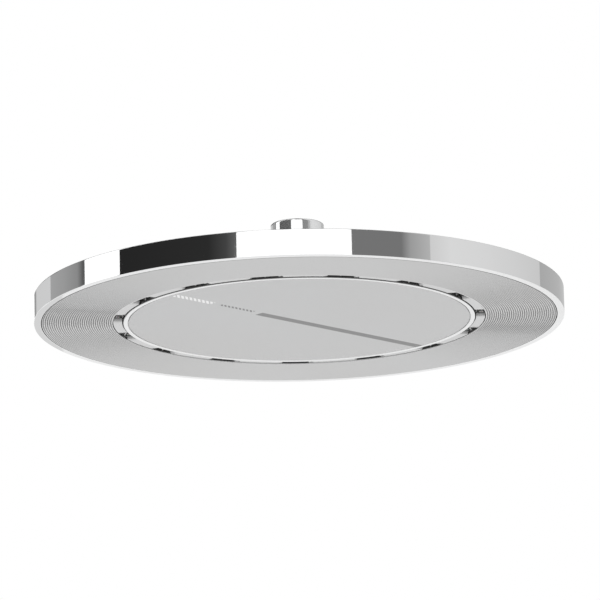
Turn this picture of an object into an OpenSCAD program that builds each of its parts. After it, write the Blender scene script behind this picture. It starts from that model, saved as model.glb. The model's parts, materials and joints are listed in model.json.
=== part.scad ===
// Overhead rain shower head: a thin round head that hangs from a threaded ball inlet.
// Units are millimetres. The origin is the centre of the inlet's mouth, +Z points up into the
// supply pipe, and +X runs along the printed stripe of the face.

/* [Head] */
// Outside diameter of the head
head_d = 250; // [246:1:280]
// Height from the face to the mouth of the inlet
total_h = 47; // [47:0.5:52]
// Height of the rim
rim_h = 12.35; // [12.2:0.05:13]
// Height that the back rises from the rim to its flat centre
dome_rise = 3.4; // [3.4:0.1:4]
// Width of the bright lip round the face
lip_w = 3.35; // [2.8:0.05:3.8]
// Thickness of the back
back_wall = 2; // [1.6:0.1:2]

/* [Face] */
// Diameter of the centre disc that shows inside its bezel
disc_d = 161.6; // [156:0.2:161.8]
// Width of the bezel round the centre disc
bezel_w = 2.1; // [1.9:0.1:2.3]
// Open gap between the bezel and the jet ring
bezel_gap = 0.5; // [0.3:0.1:0.6]
// Width of the jet ring
jet_ring_w = 4.6; // [4.4:0.1:5]
// Number of jet pockets
pocket_count = 15; // [10:5:15]
// Length of each pocket along the ring
pocket_len = 13.4; // [11:0.1:14]
// Depth of each pocket
pocket_depth = 1.6; // [1.2:0.1:1.7]
// Number of ridges on the face ring
ridge_count = 32; // [20:1:36]
// Height of each ridge
ridge_h = 0.45; // [0.2:0.05:0.5]

/* [Inlet] */
// Outside diameter of the inlet collar
collar_d = 25.2; // [25:0.1:27]
// Radius of the wall that carries the inlet thread
thread_r = 10.55; // [10.5:0.01:10.6]
// Depth of the inlet thread
thread_depth = 10; // [9:0.1:10]

/* [Ball joint] */
// Diameter of the ball
ball_d = 19; // [18.8:0.1:19.2]
// Depth of the ball's centre below the inlet's mouth
ball_depth = 26.5; // [26:0.1:26.8]
// Radius of the waterway through the ball
waterway_r = 4.2; // [3.5:0.1:4.4]
// Outside diameter of the retaining nut
nut_d = 34.4; // [34:0.1:38]

/* [Manifold] */
// Number of radial ducts in the manifold
duct_count = 5; // [4:1:6]
// Width of each duct
duct_w = 9; // [6:0.5:9.5]

/* [Hidden] */

$fn = 96;
through = 1;            // how far a cutter runs past the face that it opens
blind_skin = 0.4;       // what is left under a blind screw hole
fit = 0.05;             // gap round a piece that is pressed or screwed into another
running = 0.08;         // gap between the spherical faces of the ball joint

// Radii of the face, from the rim inwards
head_r = head_d / 2;
lip_r = head_r - lip_w;
disc_r = disc_d / 2;
bezel_r = disc_r + bezel_w;
jet_in_r = bezel_r + bezel_gap;
jet_out_r = jet_in_r + jet_ring_w;

// Heights of the head's layers, from the face upwards
z_face = -total_h;
face_t = 1.7;
jet_recess = 0.4;
z_jet_face = z_face + jet_recess;
tip_gap = 0.1;
z_flange_low = z_face + face_t + tip_gap;
nozzle_t = 1;
z_base_low = z_flange_low + 2;
plate_t = 2;
z_base_floor = z_base_low + plate_t;
duct_h = 2.3;
gasket_t = 0.5;
z_wall_top = z_base_floor + duct_h;
z_cover_low = z_wall_top + gasket_t;
z_cover_top = z_cover_low + plate_t;
hub_gasket_t = 0.8;
z_hub_low = z_cover_top + hub_gasket_t;
z_rim_top = z_face + rim_h;
z_back_top = z_rim_top + dome_rise;
z_back_low = z_back_top - back_wall;

// Pockets: each end wall leans in by the draft, and a roof-shaped ridge hangs across the middle
pocket_draft = 1.1;
ridge_half = 1.15;
ridge_low = 0.45;

// Shell
edge_r = 0.3;
top_land = 0.5;
back_flat_r = 26;
dome_steps = 24;
snap_z = z_face + 4.5;
snap_h = 1.2;
snap_depth = 0.5;

// Face ring and its seal
rim_gap = 0.15;
face_out_r = lip_r - rim_gap;
ridge_land = 0.35;
skirt_t = 2.4;
skirt_rise = 0.5;
rim_seal_z = z_face + 2.6;
rim_seal_r = 0.44;
rim_groove_depth = 0.75;
rim_groove_h = 1.3;

// Centre disc, bezel and carrier, with heights above the face
disc_gap = 0.3;
disc_low = 0.1;
disc_edge = 0.15;
disc_step = 0.75;
disc_top = 1.35;
disc_flange = 1;
bezel_wall = 1.2;
bezel_lip_t = 0.7;
bezel_hook_low = 2.7;
bezel_hook_top = 3.2;
carrier_low = 1.4;
carrier_top = 2.65;
centre_seal_r = 0.5;
centre_seal_ring_r = 2.85;
centre_groove_r = 3.8;
centre_groove_depth = 1;

// Inlet collar and stem
collar_r = collar_d / 2;
collar_h = 10;
collar_edge = 1.2;
washer_seat_r = 9.5;
washer_seat_depth = 12.5;
washer_in_r = 5.9;
washer_out_r = 9.25;
washer_t = 2.1;
screen_groove_r = 6.5;
screen_groove_z = 0.8;
screen_groove_h = 0.5;
regulator_r = 6.85;
regulator_h = 2.65;
z_regulator_low = -washer_seat_depth - regulator_h - fit;
regulator_slot_in = 2.4;
regulator_slot_out = 4.1;
regulator_slot_mid = (regulator_slot_in + regulator_slot_out) / 2;
regulator_bridge_t = 1.1;
z_regulator_bridge = z_regulator_low + regulator_bridge_t;
o_ring_r = 0.7;
shoulder_r = 8.4;
shoulder_depth = 15.5;
neck_depth = 17;
neck_r = 6.5;

// Ball joint: concentric spheres round the ball's centre
ball_r = ball_d / 2;
z_ball = -ball_depth;
liner_t = 2.24;
liner_in_r = ball_r + running;
liner_out_r = liner_in_r + liner_t;
cup_r = liner_out_r + running;
lower_liner_top = -0.6;
lower_liner_low = -7.6;
upper_liner_low = 2.4;
upper_liner_top = 4.6;
seal_r = 0.65;
seal_sunk = 0.6;
ball_seal_polar = 106;
cup_seal_polar = 121;

// Hub and nut
hub_r = 14.3;
hub_hole_r = hub_r + 0.2;
hub_gasket_r = hub_r + 1;
hub_flange_r = 23;
hub_top = 2;
hub_port_r = 7.5;
hub_screw_ring_r = 19;
nut_r = nut_d / 2;
nut_washer_t = 0.5;
nut_washer_inset = 0.6;
z_nut_low = z_back_top + nut_washer_t;
nut_top = 6.6;
nut_mouth_low_r = 8.9;
nut_mouth_top_r = 10.4;
nut_edge = 0.8;
nut_flats = nut_d - 2.4;
nut_flat_h = 8;

// Manifold
flange_w = 13;
plate_r = jet_out_r + flange_w;
channel_in_r = jet_in_r - 0.8;
channel_out_r = jet_out_r + 1;
channel_seal_inset = 0.3;
sump_r = 12;
channel_wall = 2;
inlet_hole_r = 8;
inlet_seal_gap = 0.2;
boss_r = 3.4;
cover_boss_r = 24;
outer_screws = 2 * duct_count;
outer_screw_inset = 4.2;
outer_screw_ring_r = plate_r - outer_screw_inset;
inner_screw_ring_r = 45;
duct_pitch = 360 / duct_count;

// Jets: two in each pocket
jet_ring_mid_r = (jet_in_r + jet_out_r) / 2;
jet_offset = (pocket_len / 2 - pocket_draft + ridge_half) / 2;
jet_r = 0.45;
nipple_r = 1;
nipple_proud = 0.1;
feed_r = 0.9;
nozzle_in_r = jet_in_r + 0.2;
nozzle_out_r = jet_out_r + 0.9;

// Fasteners
screw_r = 1.5;
screw_head_r = 2.7;
screw_head_h = 1.5;
drive_r = 1.2;
drive_depth = 1;
centre_screw_r = 1.95;
centre_head_r = 3.5;
centre_head_h = 1.9;

// Colours
chrome = [0.86, 0.87, 0.88];
satin = [0.77, 0.77, 0.77];
brass = [0.79, 0.66, 0.38];
white_plastic = [0.92, 0.92, 0.9];
grey_plastic = [0.55, 0.56, 0.57];
black_rubber = [0.09, 0.09, 0.09];
silicone = [0.72, 0.73, 0.74];
steel = [0.6, 0.61, 0.63];

// Points of a circular arc from angle a0 to angle a1, in n steps
function arc(centre, r, a0, a1, n) =
    [for (i = [0:n]) let (a = a0 + (a1 - a0) * i / n) centre + r * [cos(a), sin(a)]];

// Height of the back's outer face at a radius: flat in the middle, then falling to the rim
function back_z(r) =
    let (s = max(0, r - back_flat_r) / (head_r - edge_r - back_flat_r))
    z_rim_top + dome_rise * (1 - s * s);

// Points of the back's face from radius r0 to radius r1, lowered by drop
function back_points(r0, r1, drop) =
    [for (i = [0:dome_steps]) let (r = r0 + (r1 - r0) * i / dome_steps) [r, back_z(r) - drop]];

// Turned ring between two radii and two heights
module ring(r_in, r_out, z_low, z_high) {
    rotate_extrude()
        translate([r_in, z_low])
            square([r_out - r_in, z_high - z_low]);
}

// Upright cylinder between two heights
module post(r, z_low, z_high) {
    translate([0, 0, z_low])
        cylinder(r = r, h = z_high - z_low);
}

// Children repeated round the axis at one radius
module around(count, radius, start = 0) {
    for (i = [0:count - 1])
        rotate([0, 0, start + i * 360 / count])
            translate([radius, 0, 0])
                children();
}

// Half profile of the zone of a spherical shell round the ball's centre, between two heights
// above that centre
module ball_zone(r_in, r_out, low, high) {
    translate([0, z_ball])
        intersection() {
            difference() {
                circle(r = r_out);
                circle(r = r_in);
            }
            translate([0, low])
                square([r_out + through, high - low]);
        }
}

// Section of a seal whose centre lies on a sphere round the ball's centre, at a polar angle
// from +Z
module seal_section(sphere_r, polar, r) {
    translate([sphere_r * sin(polar), z_ball + sphere_r * cos(polar)])
        circle(r = r);
}

// Countersunk screw with a hexagon socket, its head flush with z_top
module countersunk_screw(z_top, z_tip) {
    difference() {
        union() {
            post(screw_r - fit, z_tip, z_top);
            translate([0, 0, z_top - screw_head_h])
                cylinder(r1 = screw_r - fit, r2 = screw_head_r, h = screw_head_h);
        }
        translate([0, 0, z_top - drive_depth])
            cylinder(r = drive_r, h = drive_depth + through, $fn = 6);
    }
}

// Hole for that screw, with a cone for its head
module countersunk_hole(z_top, z_low) {
    post(screw_r, z_low, z_top + through);
    translate([0, 0, z_top - screw_head_h - fit])
        cylinder(r1 = screw_r, r2 = screw_head_r + fit, h = screw_head_h + 2 * fit);
}

// ---- Inlet and ball stem ----

// Half outline of the stem above its ball: collar with a rounded mouth, tapered shoulder, neck
module stem_outline() {
    polygon(concat(
        [[0, 0]],
        arc([collar_r - collar_edge, -collar_edge], collar_edge, 90, 0, 8),
        [
            [collar_r, -collar_h],
            [shoulder_r, -shoulder_depth],
            [neck_r, -neck_depth],
            [neck_r, z_ball],
            [0, z_ball]
        ]
    ));
}

// Collar and ball in one piece, bored through for the water
module ball_stem() {
    color(chrome)
        difference() {
            union() {
                rotate_extrude()
                    stem_outline();
                translate([0, 0, z_ball])
                    sphere(r = ball_r);
            }
            post(thread_r, -thread_depth, through);
            post(washer_seat_r, -washer_seat_depth, through);
            post(regulator_r + fit, z_regulator_low, through);
            post(waterway_r, z_ball - ball_r - through, through);
        }
}

// Washer at the bottom of the inlet, with a groove inside it for the screen
module filter_washer() {
    groove_low = screen_groove_z - washer_seat_depth;
    color(black_rubber)
        difference() {
            ring(washer_in_r, washer_out_r, -washer_seat_depth, washer_t - washer_seat_depth);
            ring(washer_in_r - through, screen_groove_r, groove_low, groove_low + screen_groove_h);
        }
}

// Domed screen whose rim sits in the washer's groove
module filter_screen() {
    screen_t = 0.3;
    rim_t = 0.4;
    rim_r = screen_groove_r - 2 * fit;
    dome_base_r = washer_in_r - 0.2;
    dome_h = 1.25;
    dome_r = (dome_base_r * dome_base_r + dome_h * dome_h) / (2 * dome_h);
    z_rim = screen_groove_z + fit - washer_seat_depth;
    hole_r = 0.42;
    hole_pitch = 1.35;
    row_pitch = hole_pitch * sin(60);
    rows = 3;
    color(steel)
        difference() {
            union() {
                ring(dome_base_r - screen_t, rim_r, z_rim, z_rim + rim_t);
                rotate_extrude()
                    intersection() {
                        translate([0, z_rim + dome_h - dome_r])
                            difference() {
                                circle(r = dome_r);
                                circle(r = dome_r - screen_t);
                            }
                        translate([0, z_rim])
                            square([dome_base_r, dome_r]);
                    }
            }
            for (row = [-rows:rows])
                for (column = [-rows:rows])
                    if (abs(row + column) <= rows)
                        translate([hole_pitch * (column + row / 2), row_pitch * row, z_rim - through])
                            cylinder(r = hole_r, h = dome_h + 2 * through, $fn = 16);
        }
}

// Disc with a ring-shaped slot, open on top and bridged below, that the O-ring throttles
module flow_regulator() {
    port_r = 0.6;
    port_count = 6;
    port_start = 30;
    z_top = z_regulator_low + regulator_h;
    color(white_plastic)
        difference() {
            post(regulator_r, z_regulator_low, z_top);
            ring(regulator_slot_in, regulator_slot_out, z_regulator_bridge, z_top + through);
            around(port_count, regulator_slot_mid, port_start)
                post(port_r, z_regulator_low - through, z_top);
        }
}

// O-ring in the regulator's slot, which swells over the ports as the pressure rises
module regulator_o_ring() {
    color(black_rubber)
        translate([0, 0, z_regulator_bridge + o_ring_r])
            rotate_extrude()
                translate([regulator_slot_mid, 0])
                    circle(r = o_ring_r);
}

// ---- Ball joint ----

// Plastic zone that carries the ball from below, grooved for a seal on each side
module lower_liner() {
    color(white_plastic)
        rotate_extrude()
            difference() {
                ball_zone(liner_in_r, liner_out_r, lower_liner_low, lower_liner_top);
                seal_section(liner_in_r + seal_sunk, ball_seal_polar, seal_r + fit);
                seal_section(liner_out_r - seal_sunk, cup_seal_polar, seal_r + fit);
            }
}

// Seal between the ball and the lower liner
module ball_seal() {
    color(black_rubber)
        rotate_extrude()
            difference() {
                seal_section(liner_in_r + seal_sunk, ball_seal_polar, seal_r);
                translate([0, z_ball])
                    circle(r = liner_in_r);
            }
}

// Seal between the lower liner and the cup
module cup_seal() {
    color(black_rubber)
        rotate_extrude()
            intersection() {
                seal_section(liner_out_r - seal_sunk, cup_seal_polar, seal_r);
                translate([0, z_ball])
                    circle(r = liner_out_r);
            }
}

// Plastic zone that holds the ball down from above
module upper_liner() {
    color(white_plastic)
        rotate_extrude()
            ball_zone(liner_in_r, liner_out_r, upper_liner_low, upper_liner_top);
}

// Half outline of the nut's bore: thread, ball cup and flared mouth
module nut_bore() {
    translate([0, z_nut_low - through])
        square([hub_r + fit, z_ball + hub_top + fit - z_nut_low + through]);
    intersection() {
        translate([0, z_ball])
            circle(r = cup_r);
        translate([0, z_ball + hub_top])
            square([cup_r, upper_liner_top + fit - hub_top]);
    }
    polygon([
        [0, z_ball + hub_top],
        [nut_mouth_low_r, z_ball + hub_top],
        [nut_mouth_low_r, z_ball + upper_liner_top + fit],
        [nut_mouth_top_r, z_ball + nut_top],
        [nut_mouth_top_r, z_ball + nut_top + through],
        [0, z_ball + nut_top + through]
    ]);
}

// Nut that holds the ball in its cup and clamps the shell to the hub, with two wrench flats
module retaining_nut() {
    z_nut_top = z_ball + nut_top;
    color(chrome)
        difference() {
            rotate_extrude()
                difference() {
                    polygon(concat(
                        [
                            [0, z_nut_low],
                            [nut_r - nut_edge / 2, z_nut_low],
                            [nut_r, z_nut_low + nut_edge / 2]
                        ],
                        arc([nut_r - nut_edge, z_nut_top - nut_edge], nut_edge, 0, 90, 6),
                        [[0, z_nut_top]]
                    ));
                    nut_bore();
                }
            for (side = [-1, 1])
                translate([side * (nut_flats / 2 + nut_r), 0, z_nut_top])
                    cube([2 * nut_r, 2 * nut_r, 2 * nut_flat_h], center = true);
        }
}

// Slip washer between the nut and the shell
module nut_washer() {
    color(white_plastic)
        ring(hub_r + 2 * fit, nut_r - nut_washer_inset, z_back_top, z_nut_low);
}

// Brass cup for the ball, on a flange that the manifold hangs from
module inlet_hub() {
    color(brass)
        difference() {
            rotate_extrude()
                difference() {
                    union() {
                        translate([0, z_hub_low])
                            square([hub_flange_r, z_back_low - z_hub_low]);
                        translate([0, z_hub_low])
                            square([hub_r, z_ball + hub_top - z_hub_low]);
                    }
                    translate([0, z_ball])
                        circle(r = cup_r);
                    translate([0, z_ball])
                        square([cup_r, hub_top + through]);
                }
            post(hub_port_r, z_hub_low - through, z_ball);
            around(duct_count, hub_screw_ring_r, duct_pitch / 2)
                countersunk_hole(z_back_low, z_hub_low - through);
        }
}

// Gasket round the water path, between the hub and the manifold's cover
module hub_gasket() {
    color(black_rubber)
        ring(inlet_hole_r + inlet_seal_gap, hub_gasket_r, z_cover_top, z_hub_low);
}

// Screws from the hub's flange into the manifold's cover
module hub_screws() {
    color(steel)
        around(duct_count, hub_screw_ring_r, duct_pitch / 2)
            countersunk_screw(z_back_low, z_cover_low + blind_skin + tip_gap);
}

// ---- Shell ----

// Dished back with a rim that runs down to the face, a snap groove inside it and a hole for
// the hub
module back_shell() {
    outside = concat(
        [[head_r, z_face]],
        arc([head_r - edge_r, z_rim_top - edge_r], edge_r, 0, 90, 8),
        back_points(head_r - edge_r - top_land, hub_hole_r, 0)
    );
    inside = concat(
        back_points(hub_hole_r, lip_r - edge_r, back_wall),
        [[lip_r, back_z(lip_r - edge_r) - back_wall - edge_r]],
        [[lip_r, snap_z + snap_h], [lip_r + snap_depth, snap_z + snap_h]],
        [[lip_r + snap_depth, snap_z], [lip_r, snap_z]],
        [[lip_r, z_face]]
    );
    color(chrome)
        rotate_extrude()
            polygon(concat(outside, inside));
}

// ---- Manifold ----

// Plan of the water channels, grown by a margin: sump, radial ducts and the ring over the jets
module channel_plan(margin) {
    circle(r = sump_r + margin);
    for (i = [0:duct_count - 1])
        rotate([0, 0, i * duct_pitch])
            translate([0, -duct_w / 2 - margin])
                square([channel_in_r + margin, duct_w + 2 * margin]);
    difference() {
        circle(r = channel_out_r + margin);
        circle(r = channel_in_r - margin);
    }
}

// Walls that follow the channels between two margins
module channel_walls(inner, outer, z_low, z_high) {
    translate([0, 0, z_low])
        linear_extrude(height = z_high - z_low)
            difference() {
                channel_plan(outer);
                channel_plan(inner);
            }
}

// Lid of the manifold, with a boss that the hub stands on
module manifold_cover() {
    color(grey_plastic)
        difference() {
            union() {
                ring(inlet_hole_r, plate_r, z_cover_low, z_cover_top);
                ring(hub_gasket_r + fit, cover_boss_r, z_cover_top - fit, z_hub_low);
            }
            around(duct_count, hub_screw_ring_r, duct_pitch / 2)
                post(screw_r, z_cover_low + blind_skin, z_hub_low + through);
            around(duct_count, inner_screw_ring_r, duct_pitch / 2)
                countersunk_hole(z_cover_top, z_cover_low - through);
            around(outer_screws, outer_screw_ring_r, duct_pitch / 4)
                countersunk_hole(z_cover_top, z_cover_low - through);
        }
}

// One ring round the outside, and a loop round each dry sector between the ducts
module manifold_seals() {
    color(silicone)
        channel_walls(channel_seal_inset, channel_wall - channel_seal_inset, z_wall_top, z_cover_low);
}

// Floor of the manifold, with the channels' walls, the screw bosses and the feeds of the jets
module manifold_base() {
    color(grey_plastic)
        difference() {
            union() {
                post(plate_r, z_base_low, z_base_floor);
                channel_walls(0, channel_wall, z_base_floor - fit, z_wall_top);
                around(duct_count, inner_screw_ring_r, duct_pitch / 2)
                    post(boss_r, z_base_floor - fit, z_cover_low);
                around(outer_screws, outer_screw_ring_r, duct_pitch / 4)
                    post(boss_r, z_base_floor - fit, z_cover_low);
            }
            around(duct_count, inner_screw_ring_r, duct_pitch / 2)
                post(screw_r, z_base_low + blind_skin, z_cover_low + through);
            around(outer_screws, outer_screw_ring_r, duct_pitch / 4)
                post(screw_r, z_base_low - through, z_cover_low + through);
            pocket_jets()
                post(feed_r, z_base_low - through, z_base_floor + through);
            post(centre_screw_r + fit, z_base_low - through, z_base_floor + through);
            post(centre_groove_r, z_base_floor - centre_groove_depth, z_base_floor + through);
        }
}

// Long screws that clamp cover, base and jet ring together
module manifold_screws() {
    color(steel)
        around(outer_screws, outer_screw_ring_r, duct_pitch / 4)
            countersunk_screw(z_cover_top, z_flange_low + tip_gap);
}

// Short screws that hold the cover down between the ducts
module duct_screws() {
    color(steel)
        around(duct_count, inner_screw_ring_r, duct_pitch / 2)
            countersunk_screw(z_cover_top, z_base_low + blind_skin + tip_gap);
}

// ---- Jets ----

// Children repeated at the two jets of every pocket
module pocket_jets() {
    for (i = [0:pocket_count - 1])
        rotate([0, 0, i * 360 / pocket_count])
            for (side = [-1, 1])
                translate([jet_ring_mid_r, side * jet_offset, 0])
                    children();
}

// Soft ring with a nipple for each jet, which flexes to shed lime
module nozzle_ring() {
    z_nozzle_low = z_base_low - nozzle_t;
    color(silicone)
        difference() {
            union() {
                ring(nozzle_in_r, nozzle_out_r, z_nozzle_low, z_base_low);
                pocket_jets()
                    post(nipple_r, z_jet_face + pocket_depth - nipple_proud, z_nozzle_low + fit);
            }
            pocket_jets()
                post(jet_r, z_face, z_base_low + through);
        }
}

// Prism of one pocket: leaning end walls, a flat floor and the ridge across its middle
module pocket_cutter() {
    reach = 0.6;
    mouth = pocket_len / 2 + pocket_draft * through / pocket_depth;
    floor_end = pocket_len / 2 - pocket_draft;
    z_mouth = z_jet_face - through;
    z_floor = z_jet_face + pocket_depth;
    translate([jet_in_r - through, 0, 0])
        rotate([90, 0, 90])
            linear_extrude(height = jet_ring_w + through + reach)
                polygon([
                    [-mouth, z_mouth],
                    [-floor_end, z_floor],
                    [-ridge_half, z_floor],
                    [0, z_jet_face + ridge_low],
                    [ridge_half, z_floor],
                    [floor_end, z_floor],
                    [mouth, z_mouth]
                ]);
}

// Notch along the ring that splits each ridge into an inner and an outer tooth
module ridge_notch() {
    notch_low = 0.2;
    inner_run = 0.55;
    outer_start = 2.4;
    outer_end = 3.7;
    translate([jet_in_r, ridge_half + through, z_jet_face])
        rotate([90, 0, 0])
            linear_extrude(height = 2 * (ridge_half + through))
                polygon([
                    [0, notch_low],
                    [inner_run, pocket_depth],
                    [outer_start, pocket_depth],
                    [outer_end, notch_low]
                ]);
}

// Ring that shows the pockets, with a flange that the long screws clamp under the manifold
module jet_ring() {
    z_nozzle_low = z_base_low - nozzle_t;
    color(chrome)
        difference() {
            rotate_extrude()
                polygon([
                    [jet_in_r, z_jet_face],
                    [jet_out_r - 2 * fit, z_jet_face],
                    [jet_out_r - 2 * fit, z_flange_low],
                    [plate_r, z_flange_low],
                    [plate_r, z_base_low],
                    [nozzle_out_r + fit, z_base_low],
                    [nozzle_out_r + fit, z_nozzle_low],
                    [jet_in_r, z_nozzle_low]
                ]);
            for (i = [0:pocket_count - 1])
                rotate([0, 0, i * 360 / pocket_count]) {
                    pocket_cutter();
                    ridge_notch();
                }
            pocket_jets()
                post(nipple_r + fit, z_face, z_nozzle_low + through);
            around(outer_screws, outer_screw_ring_r, duct_pitch / 4)
                post(screw_r, z_flange_low - through, z_base_low + through);
        }
}

// ---- Face ring ----

// Ridged ring with a skirt that snaps into the shell
module face_ring() {
    pitch = (face_out_r - jet_out_r - 2 * ridge_land) / ridge_count;
    skirt_in_r = face_out_r - skirt_t;
    skirt_top = snap_z + snap_h + skirt_rise;
    ridges = [for (i = [0:2 * ridge_count])
        [jet_out_r + ridge_land + i * pitch / 2, z_face + (i % 2) * ridge_h]];
    color(satin)
        rotate_extrude()
            difference() {
                polygon(concat(
                    [[jet_out_r, z_face]],
                    ridges,
                    [
                        [face_out_r, z_face],
                        [face_out_r, snap_z + fit],
                        [face_out_r + snap_depth, snap_z + fit],
                        [face_out_r, snap_z + snap_h - fit],
                        [face_out_r, skirt_top],
                        [skirt_in_r, skirt_top],
                        [skirt_in_r, z_face + face_t],
                        [jet_out_r, z_face + face_t]
                    ]
                ));
                translate([face_out_r - rim_groove_depth, rim_seal_z - rim_groove_h / 2])
                    square([rim_groove_depth + through, rim_groove_h]);
            }
}

// O-ring that seals the face ring's skirt in the shell
module rim_seal() {
    color(black_rubber)
        translate([0, 0, rim_seal_z])
            rotate_extrude()
                translate([face_out_r - rim_groove_depth + rim_seal_r + fit / 2, 0])
                    circle(r = rim_seal_r);
}

// ---- Centre of the face ----

// Stepped disc: its edge rests on the bezel's lip
module centre_disc() {
    color(satin)
        rotate_extrude()
            polygon([
                [0, z_face + disc_low],
                [disc_r - disc_gap - disc_edge, z_face + disc_low],
                [disc_r - disc_gap, z_face + disc_low + disc_edge],
                [disc_r - disc_gap, z_face + disc_step],
                [disc_r + disc_flange, z_face + disc_step],
                [disc_r + disc_flange, z_face + disc_top],
                [0, z_face + disc_top]
            ]);
}

// Trim ring that hooks over the carrier and holds the disc against it
module disc_bezel() {
    edge = 0.25;
    color(chrome)
        rotate_extrude()
            polygon([
                [disc_r, z_face + edge],
                [disc_r + edge, z_face],
                [bezel_r - edge, z_face],
                [bezel_r, z_face + edge],
                [bezel_r, z_face + bezel_hook_top],
                [bezel_r - bezel_wall, z_face + bezel_hook_top],
                [bezel_r - bezel_wall, z_face + bezel_hook_low],
                [disc_r + disc_flange + fit, z_face + bezel_hook_low],
                [disc_r + disc_flange + fit, z_face + bezel_lip_t],
                [disc_r, z_face + bezel_lip_t]
            ]);
}

// Ribbed plate behind the disc, held to the manifold by the centre screw
module disc_carrier() {
    rib_t = 1.6;
    rib_start = 6;
    rim_t = 2;
    boss_out_r = 8;
    screw_skin = 0.5;
    rim_out_r = bezel_r - bezel_wall - 2 * fit;
    z_plate_low = z_face + carrier_low;
    z_plate_top = z_face + carrier_top;
    z_top = z_base_low - fit;
    color(grey_plastic)
        difference() {
            union() {
                post(disc_r + disc_flange, z_plate_low, z_plate_top);
                ring(rim_out_r - rim_t, rim_out_r, z_plate_top - fit, z_top);
                post(boss_out_r, z_plate_top - fit, z_top);
                for (i = [0:2 * duct_count - 1])
                    rotate([0, 0, i * duct_pitch / 2])
                        translate([rib_start, -rib_t / 2, z_plate_top - fit])
                            cube([rim_out_r - rib_start - rim_t / 2, rib_t, z_top - z_plate_top + fit]);
            }
            post(centre_screw_r + fit, z_plate_low + screw_skin, z_base_low + through);
        }
}

// Pan-head screw in the sump that holds the carrier and disc
module centre_screw() {
    head_low = z_base_floor + fit;
    head_edge = 0.5;
    tip_h = 2;
    socket_r = 1.8;
    socket_depth = 1.15;
    color(steel)
        difference() {
            union() {
                post(centre_screw_r, z_face + tip_h, head_low);
                translate([0, 0, head_low])
                    cylinder(r1 = centre_head_r, r2 = centre_head_r - head_edge, h = centre_head_h);
            }
            translate([0, 0, head_low + centre_head_h - socket_depth])
                cylinder(r = socket_r, h = centre_head_h, $fn = 6);
        }
}

// O-ring round the centre screw, under its head
module centre_seal() {
    color(black_rubber)
        translate([0, 0, z_base_floor - centre_seal_r])
            rotate_extrude()
                translate([centre_seal_ring_r, 0])
                    circle(r = centre_seal_r);
}

ball_stem();
filter_washer();
filter_screen();
flow_regulator();
regulator_o_ring();
lower_liner();
ball_seal();
cup_seal();
upper_liner();
retaining_nut();
nut_washer();
inlet_hub();
hub_gasket();
hub_screws();
back_shell();
manifold_cover();
manifold_seals();
manifold_base();
manifold_screws();
duct_screws();
nozzle_ring();
jet_ring();
face_ring();
rim_seal();
disc_carrier();
centre_disc();
disc_bezel();
centre_screw();
centre_seal();
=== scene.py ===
"""Looks for an overhead rain shower head: turned chrome, a ridged face, jet pockets and a satin disc.

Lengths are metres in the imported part's own frame. +Z points up into the supply pipe, and +X runs
along the printed stripe. MM turns the millimetres of small details into metres.
"""
import json
import math

import bmesh
import bpy
from mathutils import Matrix, Vector


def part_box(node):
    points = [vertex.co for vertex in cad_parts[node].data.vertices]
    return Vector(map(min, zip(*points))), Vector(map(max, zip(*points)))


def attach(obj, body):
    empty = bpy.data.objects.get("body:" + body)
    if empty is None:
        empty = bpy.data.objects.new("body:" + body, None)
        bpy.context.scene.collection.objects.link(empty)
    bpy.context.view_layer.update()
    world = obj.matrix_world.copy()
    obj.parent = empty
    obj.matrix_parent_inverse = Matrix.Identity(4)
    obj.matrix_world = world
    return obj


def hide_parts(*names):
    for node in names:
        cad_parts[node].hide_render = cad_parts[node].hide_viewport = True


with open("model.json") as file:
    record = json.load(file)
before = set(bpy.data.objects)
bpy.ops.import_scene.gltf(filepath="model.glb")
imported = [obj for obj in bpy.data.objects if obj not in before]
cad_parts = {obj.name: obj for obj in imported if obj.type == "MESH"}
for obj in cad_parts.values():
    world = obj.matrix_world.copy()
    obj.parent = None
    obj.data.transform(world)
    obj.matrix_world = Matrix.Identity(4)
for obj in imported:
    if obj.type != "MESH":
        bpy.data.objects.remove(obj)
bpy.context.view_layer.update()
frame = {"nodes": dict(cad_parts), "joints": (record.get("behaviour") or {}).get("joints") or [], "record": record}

MM = 0.001
nodes = frame["nodes"]
mounts = {m["name"]: m for m in frame["record"]["mounts"]}


# ---- Places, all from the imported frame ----

shell_low, shell_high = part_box("back_shell")
bezel_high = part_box("disc_bezel")[1]
disc_low, disc_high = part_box("centre_disc")
jets_low, jets_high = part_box("jet_ring")
ridged_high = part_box("face_ring")[1]
stem_low, stem_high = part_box("ball_stem")
nut_low, nut_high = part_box("retaining_nut")
nozzles_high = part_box("nozzle_ring")[1]

# The shell and its rim
HEAD_R = shell_high.x
Z_FACE = shell_low.z
Z_BACK = shell_high.z
Z_RIM = Z_BACK - 3.4 * MM
RIM_EDGE = 0.3 * MM
LIP_R = ridged_high.x - 0.35 * MM

# The bezel and the disc inside it
BEZEL_R = bezel_high.x
BEZEL_IN_R = disc_high.x - 1 * MM
DISC_R = BEZEL_IN_R - 0.45 * MM

# The ridged ring, with the groove round its edge and the snap that holds it in the shell
RIDGES = 32
FACE_OUT_R = LIP_R - 0.15 * MM
GROOVE_W = 0.3 * MM
GROOVE_DEPTH = 0.4 * MM
SNAP_Z = Z_FACE + 4.5 * MM
SNAP_DEPTH = 0.5 * MM
SNAP_HEIGHT = 1.2 * MM
SEAM_TOP = Z_FACE + 2.7 * MM

# The ball stem and its nut
Z_BALL = frame["joints"][0]["pos_m"][2]
BALL_R = Z_BALL - stem_low.z + 0.001 * MM
THREAD_R = mounts["inlet"]["dims"]["r_mm"] * MM
THREAD_DEPTH = mounts["inlet"]["dims"]["length_mm"] * MM
COLLAR_R = stem_high.x
NUT_R = nut_high.y

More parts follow.
